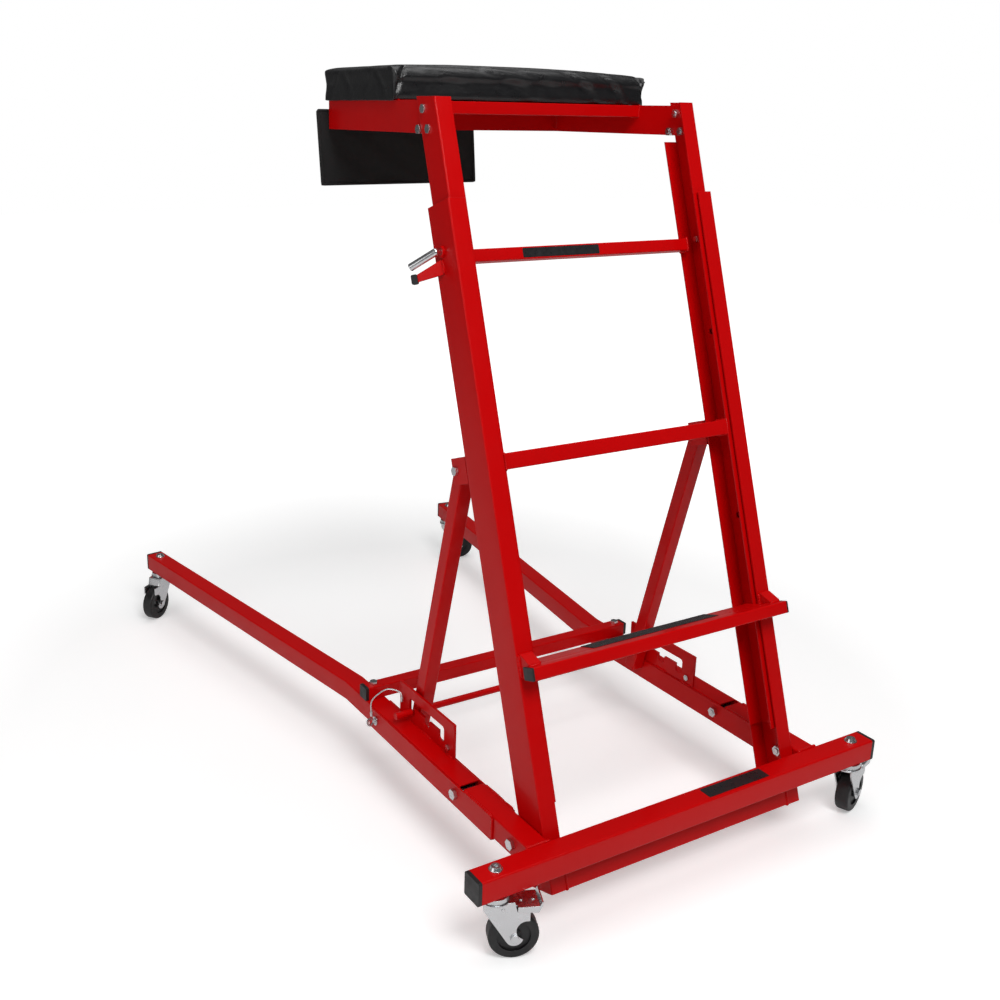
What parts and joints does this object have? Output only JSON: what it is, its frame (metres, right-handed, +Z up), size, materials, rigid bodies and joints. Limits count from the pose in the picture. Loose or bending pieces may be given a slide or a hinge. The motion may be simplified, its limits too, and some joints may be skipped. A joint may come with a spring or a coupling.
{
  "type": "topside creeper",
  "caption": "Folding topside creeper: a padded deck on a two-stage sliding ladder, propped by struts on a caster base with fold-up legs.",
  "frame": {"origin": "on the floor, at the centre of the footprint", "axes": "+X across, to the user's right when facing the ladder; +Y to the rear, where the legs point; +Z up"},
  "size_m": [0.9241, 1.4859, 1.242],
  "materials": {
    "red_steel": "gloss powder coat",
    "zinc": "bright zinc plate",
    "black_plastic": "matte",
    "wheel_plastic": "satin",
    "grip": "gritty",
    "vinyl": "black vinyl",
    "cloth": "woven",
    "board": "raw plywood",
    "cable": "braided wire, clear coat"
  },
  "bodies": {
    "base": {"front_crossbar": "red_steel", "crossbar_caps": "black_plastic", "base_stubs": "red_steel", "hinge_channels": "red_steel", "hinge_bolts": "zinc", "hinge_nuts": "zinc", "front_stems": "zinc", "front_stem_nuts": "zinc"},
    "legs": {"leg_left": "red_steel", "leg_right": "red_steel", "leg_caps": "black_plastic", "leg_crossbar": "red_steel", "leg_bolts": "zinc", "slot_brackets": "red_steel", "stop_bolts": "zinc", "lanyards": "cable", "rear_stems": "zinc", "rear_stem_nuts": "zinc"},
    "hitch_pin_left": {"hitch_pin_left": "zinc"},
    "hitch_pin_right": {"hitch_pin_right": "zinc"},
    "rod": {"strut_rod": "red_steel"},
    "struts": {"strut_left": "red_steel", "strut_right": "red_steel", "strut_caps": "black_plastic"},
    "outer_ladder": {"outer_rail_left": "red_steel", "outer_rail_right": "red_steel", "lower_cross_member": "red_steel", "step_bar": "red_steel", "step_end_caps": "black_plastic", "step_tread": "red_steel", "grip_tape": "grip", "strut_brackets": "red_steel", "strut_bolts": "zinc", "latch_brackets": "red_steel"},
    "height_pin_left": {"height_pin_left": "zinc"},
    "height_pin_right": {"height_pin_right": "zinc"},
    "inner_ladder": {"inner_rail_left": "red_steel", "inner_rail_right": "red_steel", "rungs": "red_steel", "deck_arms": "red_steel", "deck_bolts": "zinc", "deck_front_tube": "red_steel", "deck_rear_plate": "red_steel", "deck_board": "board", "pad": "vinyl", "tool_pouch": "cloth"},
    "swivel_front_left": {"fork_front_left": "zinc", "axle_front_left": "zinc"},
    "wheel_front_left": {"wheel_front_left": "wheel_plastic"},
    "pedal_front_left": {"pedal_front_left": "zinc"},
    "swivel_front_right": {"fork_front_right": "zinc", "axle_front_right": "zinc"},
    "wheel_front_right": {"wheel_front_right": "wheel_plastic"},
    "pedal_front_right": {"pedal_front_right": "zinc"},
    "swivel_rear_left": {"fork_rear_left": "zinc", "axle_rear_left": "zinc"},
    "wheel_rear_left": {"wheel_rear_left": "wheel_plastic"},
    "swivel_rear_right": {"fork_rear_right": "zinc", "axle_rear_right": "zinc"},
    "wheel_rear_right": {"wheel_rear_right": "wheel_plastic"}
  },
  "joints": [
    {"name": "leg_fold", "type": "hinge", "parent": "base", "child": "legs", "pos_m": [0, -0.484, 0.126], "axis": [1, 0, 0], "range_deg": [0, 90], "stiffness_Nm_per_rad": 200, "springref_deg": -57.3},
    {"name": "rod_slide", "type": "slide", "parent": "legs", "child": "rod", "axis": [0, -1, 0], "range_m": [0, 0.1001]},
    {"name": "strut_fold", "type": "hinge", "parent": "rod", "child": "struts", "pos_m": [0, -0.279, 0.165], "axis": [-1, 0, 0], "range_deg": [0, 84.7]},
    {"name": "ladder_tilt", "type": "hinge", "parent": "base", "child": "outer_ladder", "pos_m": [0, -0.643, 0.128], "axis": [1, 0, 0], "range_deg": [0, 30.01]},
    {"name": "height_slide", "type": "slide", "parent": "outer_ladder", "child": "inner_ladder", "axis": [0, 0.3223, 0.9466], "range_m": [0, 0.48]},
    {"name": "height_pin_left_pull", "type": "slide", "parent": "outer_ladder", "child": "height_pin_left", "axis": [-1, 0, 0], "range_m": [0, 0.015]},
    {"name": "height_pin_right_pull", "type": "slide", "parent": "outer_ladder", "child": "height_pin_right", "axis": [1, 0, 0], "range_m": [0, 0.015]},
    {"name": "hitch_pin_left_pull", "type": "slide", "parent": "legs", "child": "hitch_pin_left", "axis": [-1, 0, 0], "range_m": [0, 0.055]},
    {"name": "hitch_pin_right_pull", "type": "slide", "parent": "legs", "child": "hitch_pin_right", "axis": [1, 0, 0], "range_m": [0, 0.055]},
    {"name": "swivel_front_left", "type": "hinge", "parent": "base", "child": "swivel_front_left", "pos_m": [-0.366, -0.702, 0], "axis": [0, 0, 1], "continuous": true},
    {"name": "spin_front_left", "type": "hinge", "parent": "swivel_front_left", "child": "wheel_front_left", "pos_m": [-0.34022, -0.71293, 0.038], "axis": [-0.3903, -0.9207, 0], "continuous": true},
    {"name": "pedal_front_left", "type": "hinge", "parent": "swivel_front_left", "child": "pedal_front_left", "pos_m": [-0.35679, -0.7059, 0.087], "axis": [0.3903, 0.9207, 0], "range_deg": [0, 7]},
    {"name": "swivel_front_right", "type": "hinge", "parent": "base", "child": "swivel_front_right", "pos_m": [0.366, -0.702, 0], "axis": [0, 0, 1], "continuous": true},
    {"name": "spin_front_right", "type": "hinge", "parent": "swivel_front_right", "child": "wheel_front_right", "pos_m": [0.39233, -0.69248, 0.038], "axis": [0.3401, -0.9404, 0], "continuous": true},
    {"name": "pedal_front_right", "type": "hinge", "parent": "swivel_front_right", "child": "pedal_front_right", "pos_m": [0.3754, -0.6986, 0.087], "axis": [-0.3401, 0.9404, 0], "range_deg": [0, 7]},
    {"name": "swivel_rear_left", "type": "hinge", "parent": "legs", "child": "swivel_rear_left", "pos_m": [-0.40249, 0.70531, 0], "axis": [0, 0, 1], "continuous": true},
    {"name": "spin_rear_left", "type": "hinge", "parent": "swivel_rear_left", "child": "wheel_rear_left", "pos_m": [-0.42452, 0.68802, 0.038], "axis": [-0.6174, 0.7867, 0], "continuous": true},
    {"name": "swivel_rear_right", "type": "hinge", "parent": "legs", "child": "swivel_rear_right", "pos_m": [0.40249, 0.70531, 0], "axis": [0, 0, 1], "continuous": true},
    {"name": "spin_rear_right", "type": "hinge", "parent": "swivel_rear_right", "child": "wheel_rear_right", "pos_m": [0.42658, 0.69103, 0.038], "axis": [-0.5101, -0.8601, 0], "continuous": true}
  ],
  "couplings": [
    {"joint": "rod_slide", "follows": "leg_fold", "m_per_rad": 0.063699},
    {"joint": "strut_fold", "follows": "leg_fold", "ratio": 0.94003},
    {"joint": "ladder_tilt", "follows": "leg_fold", "ratio": 0.33333}
  ]
}
